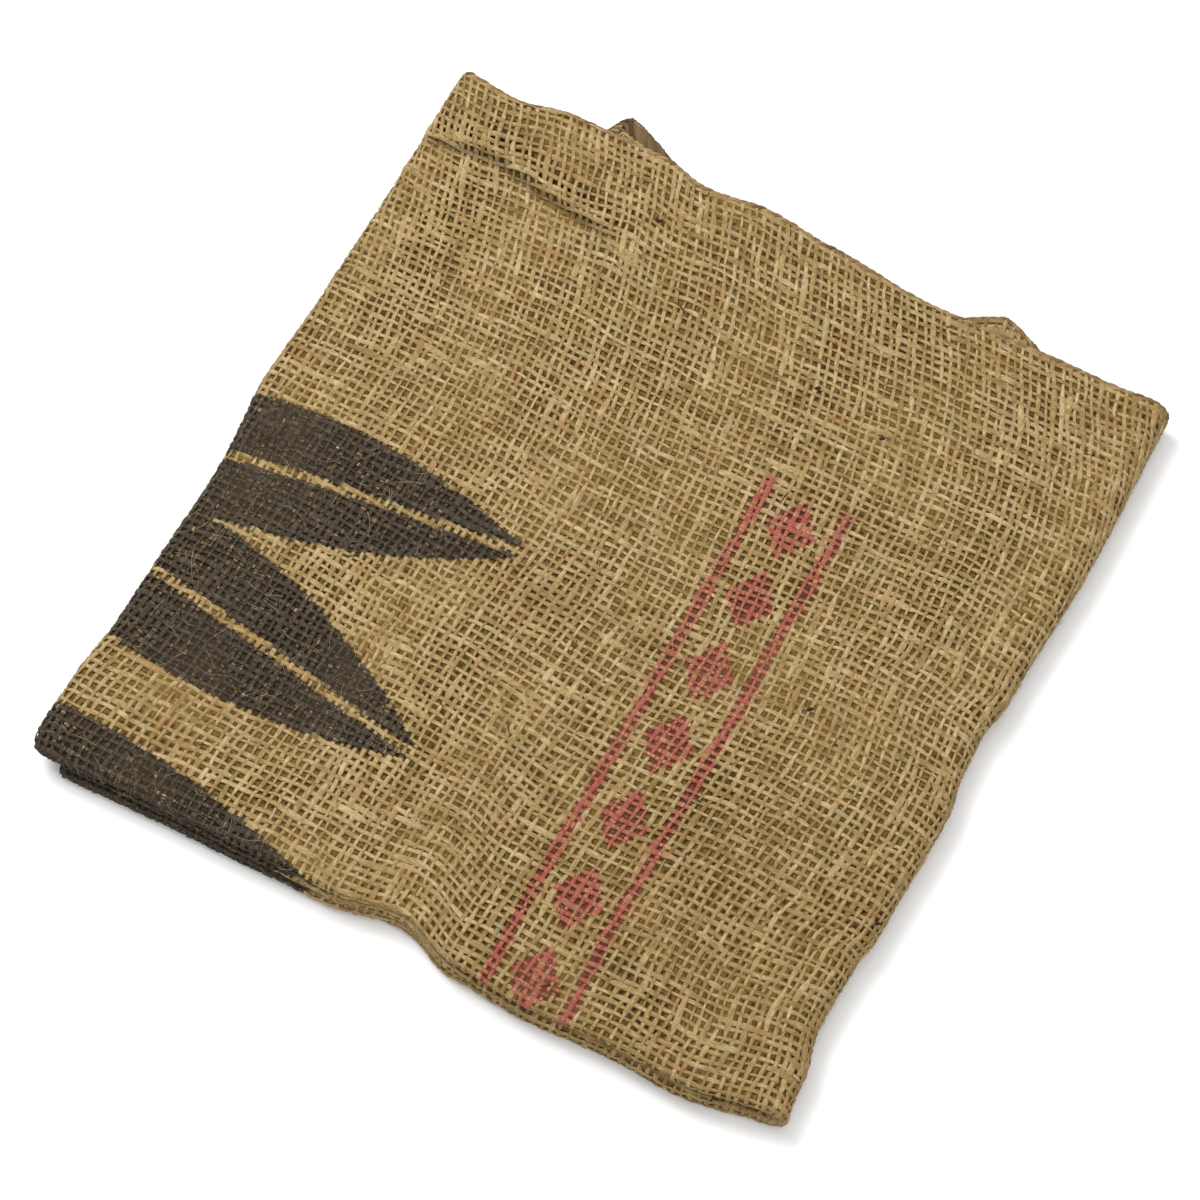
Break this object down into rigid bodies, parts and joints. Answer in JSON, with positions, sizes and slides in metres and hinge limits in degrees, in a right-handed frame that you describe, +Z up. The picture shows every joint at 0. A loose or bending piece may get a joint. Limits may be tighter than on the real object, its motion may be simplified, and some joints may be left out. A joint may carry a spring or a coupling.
{
  "type": "folded burlap sack",
  "caption": "Open-weave burlap sack, folded in half along its length and rolled in thirds into a flat, nearly square packet.",
  "frame": {"origin": "centre of the packet's outline, on the surface it rests on", "axes": "+Z up; +X along the sack's length, from the crisp fold to the soft rolled fold; +Y from the lengthwise fold to the sack's two sides"},
  "size_m": [0.2906, 0.3164, 0.0201],
  "materials": {
    "burlap": "open plain weave of undyed jute yarn, matt, with rubbed black and red printed marks"
  },
  "bodies": {
    "root": {"bag": "burlap"}
  },
  "joints": []
}
